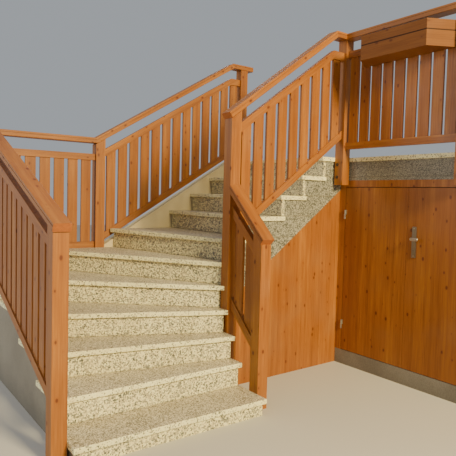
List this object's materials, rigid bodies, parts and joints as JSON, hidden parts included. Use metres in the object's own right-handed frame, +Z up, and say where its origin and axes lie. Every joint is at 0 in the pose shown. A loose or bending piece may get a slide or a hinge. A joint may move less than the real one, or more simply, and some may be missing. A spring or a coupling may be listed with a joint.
{
  "type": "stone steps",
  "caption": "Granite stone steps with a quarter turn of winders, a balcony landing over a store room with a double door, and wood decor railings",
  "frame": {"origin": "centre of the foot of inner_newel, the post in the inside corner of the stair, on the level ground", "axes": "+X along the front of the balcony, away from the upper flight; +Y up the upper flight, towards the house; +Z up"},
  "size_m": [3.848, 3.7995, 2.941],
  "materials": {
    "wood_decor": "satin",
    "granite": "satin",
    "stone_chips": "matte",
    "render": "matte",
    "cream_render": "matte",
    "concrete": "matte",
    "steel": "satin"
  },
  "bodies": {
    "root": {"balcony_handrail": "wood_decor", "balcony_infill": "wood_decor", "balcony_posts": "wood_decor", "cheek_walls": "render", "corner_post": "wood_decor", "door_frame": "wood_decor", "end_infill": "wood_decor", "fascia": "stone_chips", "flower_box": "wood_decor", "frame_hinges": "steel", "front_panel": "wood_decor", "inner_handrail": "wood_decor", "inner_infill": "wood_decor", "inner_newel": "wood_decor", "landing_deck": "concrete", "landing_floor": "granite", "landing_post": "wood_decor", "left_handrail": "wood_decor", "left_infill": "wood_decor", "left_wall": "cream_render", "low_handrail": "wood_decor", "low_infill": "wood_decor", "low_newel": "wood_decor", "lower_core": "concrete", "outer_handrail": "wood_decor", "outer_infill": "wood_decor", "outer_newel": "wood_decor", "risers": "granite", "side_panel": "wood_decor", "stone_string": "stone_chips", "store_back_wall": "render", "store_floor": "concrete", "store_front_wall": "render", "store_left_wall": "render", "store_right_wall": "render", "treads": "granite", "turn_infill": "wood_decor", "turn_post": "wood_decor", "upper_core": "concrete"},
    "left_door": {"left_door": "wood_decor", "left_door_hinges": "steel"},
    "right_door": {"right_door": "wood_decor", "right_door_hinges": "steel", "door_handle": "steel"},
    "door_lever": {"door_lever": "steel"}
  },
  "joints": [
    {"name": "left_door_hinge", "type": "hinge", "parent": "root", "child": "left_door", "pos_m": [0.0075, 1.29, 0.87], "axis": [0, 0, -1], "range_deg": [0, 90]},
    {"name": "right_door_hinge", "type": "hinge", "parent": "root", "child": "right_door", "pos_m": [1.2835, 1.29, 0.87], "axis": [0, 0, 1], "range_deg": [0, 110]},
    {"name": "door_lever_turn", "type": "hinge", "parent": "right_door", "child": "door_lever", "pos_m": [0.7185, 1.266, 1.198], "axis": [0, 1, 0], "range_deg": [0, 40], "stiffness_Nm_per_rad": 1.5, "springref_deg": -17.19}
  ]
}
